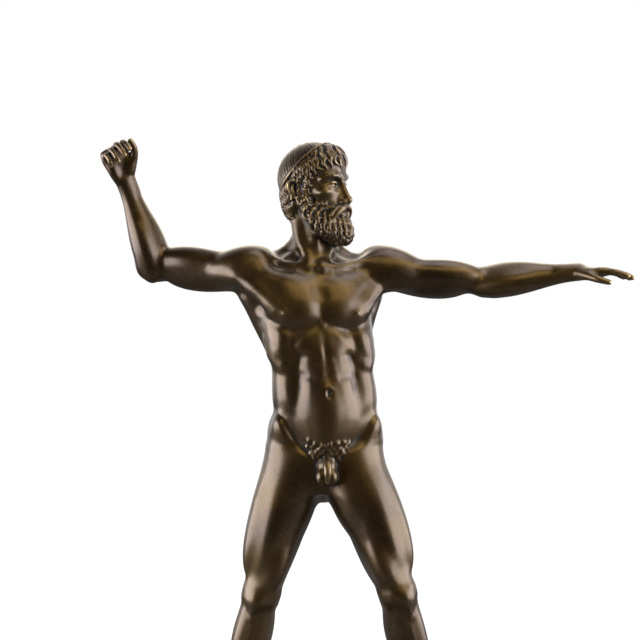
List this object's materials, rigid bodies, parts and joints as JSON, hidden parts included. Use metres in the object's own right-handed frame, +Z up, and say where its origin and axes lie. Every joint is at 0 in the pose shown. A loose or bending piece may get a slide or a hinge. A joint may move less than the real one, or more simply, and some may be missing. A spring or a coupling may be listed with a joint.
{
  "type": "statuette of a bearded god",
  "caption": "Cast bronze figure of a bearded classical god, standing astride with arms spread to throw, on a low rectangular stone base.",
  "frame": {"origin": "centre of the base's underside", "axes": "+Z up, -Y in front of the chest, +X to the figure's left, along its outstretched arm"},
  "size_m": [0.3147, 0.104, 0.3945],
  "materials": {
    "patinated_bronze": "dark olive-brown waxed patina, satin, rubbed to gold on the raised locks",
    "dark_stone": "polished near-black stone with faint pale veins"
  },
  "bodies": {
    "root": {"figure": "patinated_bronze", "base": "dark_stone"}
  },
  "joints": []
}
